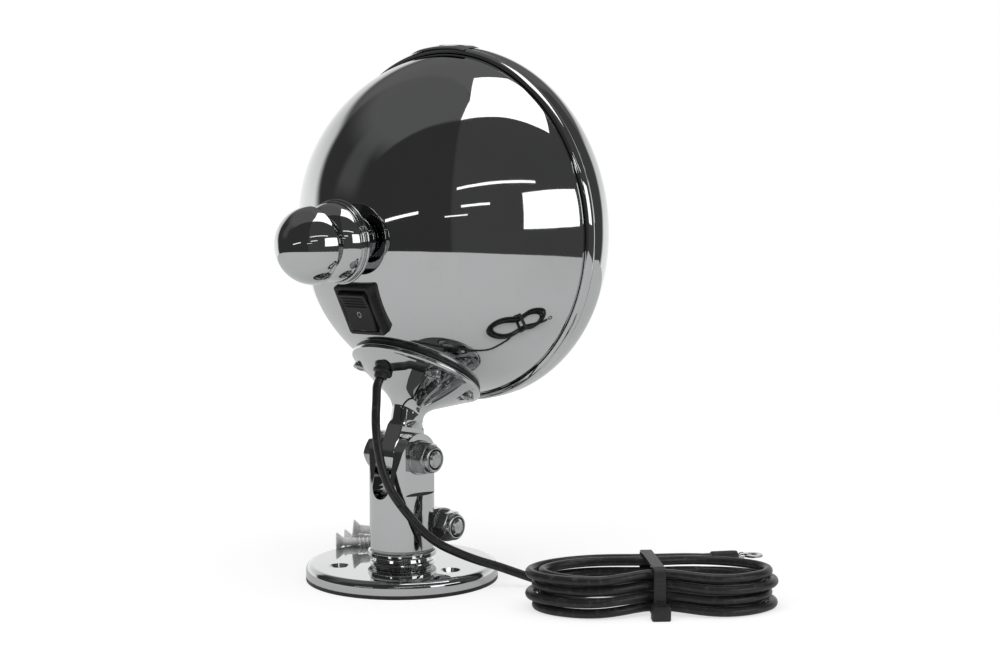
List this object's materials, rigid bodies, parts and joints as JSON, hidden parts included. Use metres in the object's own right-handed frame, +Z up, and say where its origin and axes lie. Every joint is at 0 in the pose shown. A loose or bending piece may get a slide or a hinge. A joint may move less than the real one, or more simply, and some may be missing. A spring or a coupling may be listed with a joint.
{
  "type": "deck light",
  "caption": "Chrome round-backed deck light: a sealed lamp in a spun bowl with a ball knob and rocker switch, on a tilting, swivelling clamp post with a round base, and a tied lead.",
  "frame": {"origin": "on the deck face, at the centre of the round base", "axes": "+Z up along the post; at rest the lens looks along -Y; the tilt bolt lies along X"},
  "size_m": [0.2484, 0.1567, 0.2481],
  "materials": {
    "chrome": "polished chrome plate",
    "steel": "bright plated steel",
    "rubber": "matt black rubber",
    "nylon": "natural nylon",
    "switch_black": "moulded black",
    "lens_glass": "clear pressed glass",
    "silvered": "silvered reflector",
    "cord_black": "black sheath",
    "tie_black": "black nylon"
  },
  "bodies": {
    "base": {"base_flange": "chrome", "base_gasket": "rubber", "mounting_screws": "steel", "swivel_washer": "nylon", "cord_lead": "cord_black", "cord_hank": "cord_black", "hank_tie": "tie_black", "cord_sleeve": "cord_black", "ring_terminal": "steel"},
    "post": {"clamp_post": "chrome", "clamp_bolt": "steel", "clamp_nut": "steel", "clamp_washers": "steel", "tilt_bolt": "steel", "tilt_nut": "steel", "tilt_washers": "steel"},
    "rocker": {"switch_rocker": "switch_black"},
    "head": {"head_bracket": "chrome", "bowl_shell": "chrome", "bezel_ring": "chrome", "bezel_clip": "chrome", "knob_bell": "chrome", "knob_grip": "chrome", "saddle_screws": "steel", "saddle_nuts": "steel", "clip_screw": "steel", "lamp_terminals": "steel", "lamp_retainer": "steel", "knob_stud": "steel", "knob_nut": "steel", "knob_grub_screw": "steel", "rocker_pin": "steel", "switch_terminals": "steel", "saddle_gasket": "rubber", "lamp_gasket": "rubber", "cord_grommet": "rubber", "switch_frame": "switch_black", "lamp_lens": "lens_glass", "lamp_burner": "lens_glass", "lamp_reflector": "silvered"}
  },
  "joints": [
    {"name": "swivel", "type": "hinge", "parent": "base", "child": "post", "pos_m": [0, 0, 0.0145], "axis": [0, 0, 1], "range_deg": [-90, 90], "deforming": ["cord_lead"]},
    {"name": "tilt", "type": "hinge", "parent": "post", "child": "head", "pos_m": [0, 0, 0.057], "axis": [-1, 0, 0], "range_deg": [-40, 50], "deforming": ["cord_lead"]},
    {"name": "switch_rock", "type": "hinge", "parent": "head", "child": "rocker", "pos_m": [0, 0.02413, 0.12661], "axis": [1, 0, 0], "range_deg": [-8, 8]}
  ]
}
